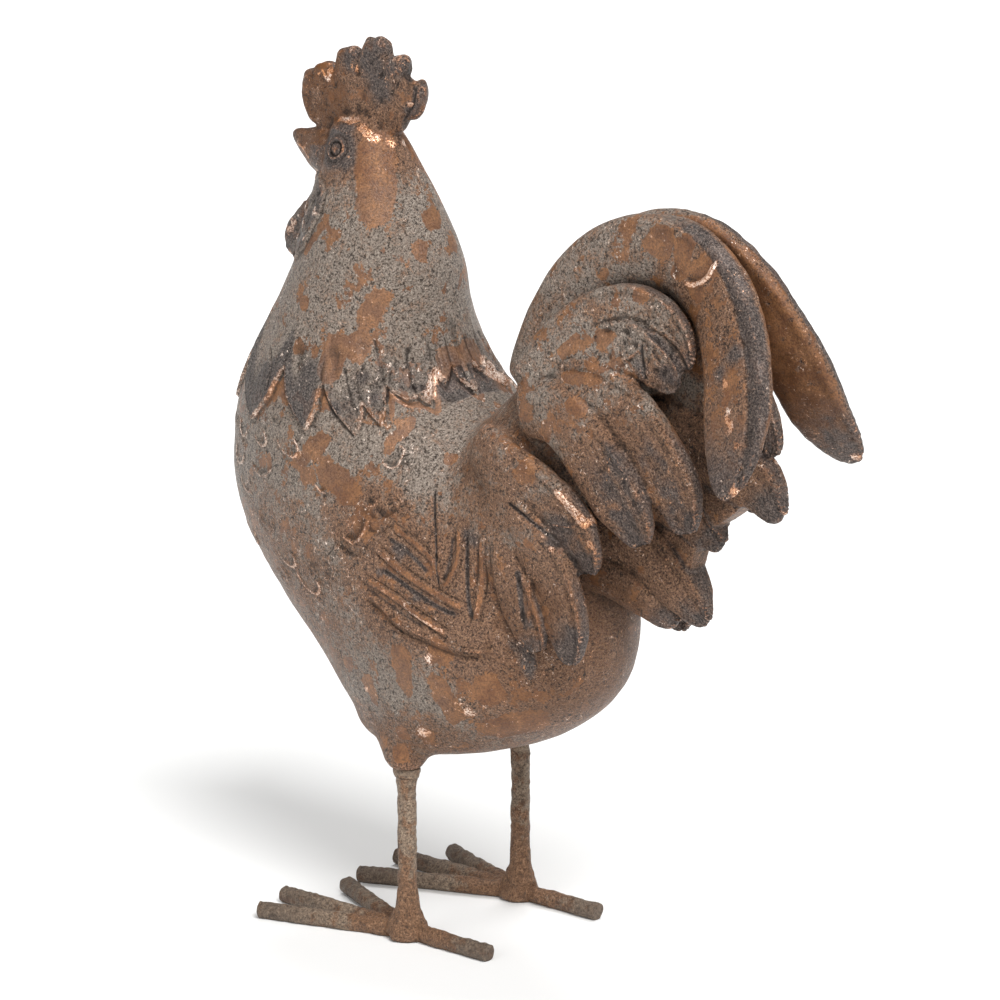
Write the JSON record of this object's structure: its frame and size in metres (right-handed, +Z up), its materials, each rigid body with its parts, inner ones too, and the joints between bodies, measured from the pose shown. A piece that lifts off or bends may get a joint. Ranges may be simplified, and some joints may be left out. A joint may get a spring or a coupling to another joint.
{
  "type": "rooster statue",
  "caption": "Standing garden rooster with comb, folded wings and arching tail plumes, a painted cast on bar legs with splayed bar toes.",
  "frame": {"origin": "on the ground, at the middle of the statue's footprint", "axes": "+Z up, -Y the way the rooster faces, +X its left side"},
  "size_m": [0.1486, 0.3694, 0.4565],
  "materials": {
    "painted_resin": "speckled grey paint worn to copper brown, dark patina in the hollows",
    "iron_bar": "rough bar with brown rust and weld beads"
  },
  "bodies": {
    "root": {"rooster_cast": "painted_resin", "left_leg": "iron_bar", "right_leg": "iron_bar", "left_outer_toe": "iron_bar", "left_middle_toe": "iron_bar", "left_inner_toe": "iron_bar", "left_back_toe": "iron_bar", "right_outer_toe": "iron_bar", "right_middle_toe": "iron_bar", "right_inner_toe": "iron_bar", "right_back_toe": "iron_bar"}
  },
  "joints": []
}
